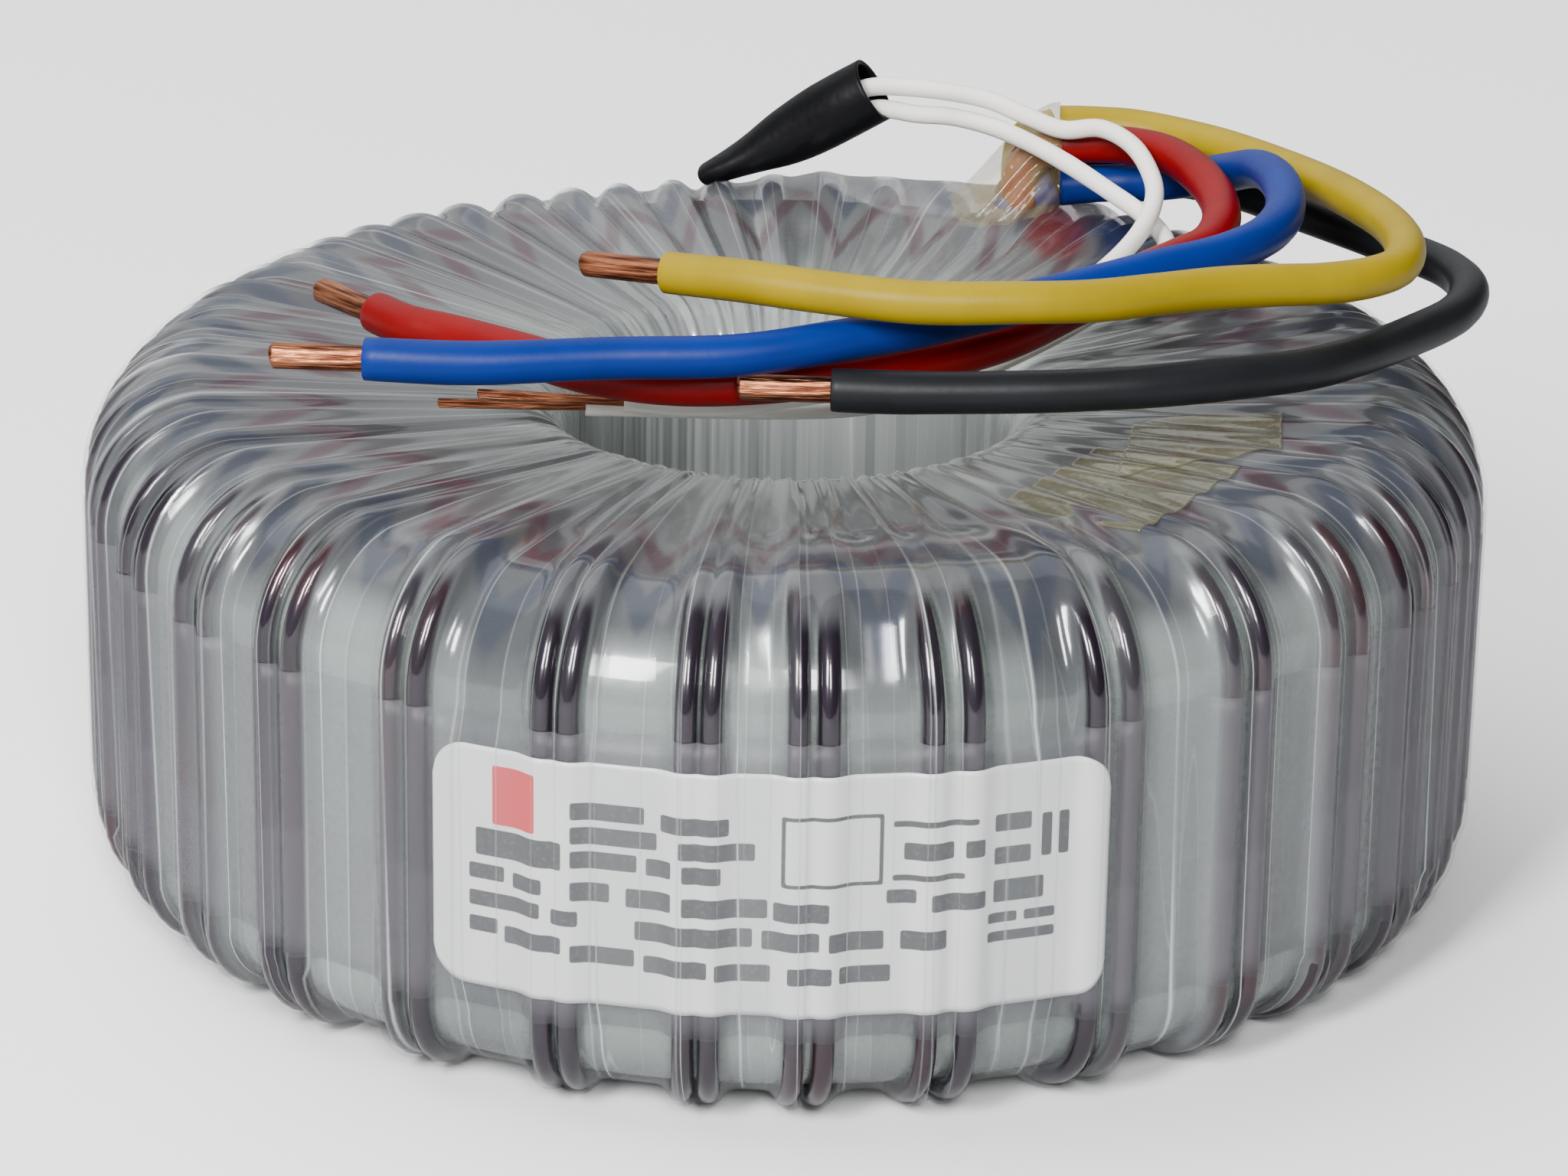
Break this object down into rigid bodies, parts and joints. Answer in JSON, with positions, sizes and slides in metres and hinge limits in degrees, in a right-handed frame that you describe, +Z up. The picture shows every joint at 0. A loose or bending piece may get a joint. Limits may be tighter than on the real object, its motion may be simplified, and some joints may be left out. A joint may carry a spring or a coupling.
{
  "type": "toroidal transformer",
  "caption": "Toroidal mains transformer: ring-shaped winding under clear film, with a centre hole, side label and free leads on top.",
  "frame": {"origin": "middle of the underside, on the axis of the centre hole", "axes": "+Z up along the centre hole towards the side with the leads, -Y towards the label"},
  "size_m": [0.1653, 0.1648, 0.0834],
  "materials": {
    "core_steel": "satin strip-wound silicon steel",
    "insulation": "pale polyester film, many turns",
    "primary_wire": "enamelled copper",
    "secondary_wire": "dark purple-brown enamel on copper, glossy",
    "side_band": "milky clear film band",
    "label": "white film label with grey bars",
    "film": "clear stretched polyester film, glossy",
    "clear_tape": "yellowish clear tape",
    "amber_tape": "amber clear tape, creased",
    "black_sleeve": "satin black shrink sleeve",
    "red_sleeve": "satin red PVC",
    "yellow_sleeve": "satin yellow PVC",
    "blue_sleeve": "satin blue PVC",
    "grey_sleeve": "satin charcoal PVC",
    "white_sleeve": "satin white PVC",
    "bare_copper": "scraped bare copper"
  },
  "bodies": {
    "root": {"core": "core_steel", "core_wrap": "insulation", "primary_winding": "primary_wire", "interwinding_wrap": "insulation", "secondary_a": "secondary_wire", "secondary_b": "secondary_wire", "side_band": "side_band", "rating_label": "label", "outer_wrap": "film", "patch_tape": "clear_tape", "exit_tape": "amber_tape", "primary_sleeve": "black_sleeve", "lead_red": "red_sleeve", "lead_yellow": "yellow_sleeve", "lead_blue": "blue_sleeve", "lead_grey": "grey_sleeve", "lead_white_a": "white_sleeve", "lead_white_b": "white_sleeve", "bare_end_red": "bare_copper", "bare_end_yellow": "bare_copper", "bare_end_blue": "bare_copper", "bare_end_grey": "bare_copper", "bare_end_white_a": "bare_copper", "bare_end_white_b": "bare_copper"}
  },
  "joints": []
}
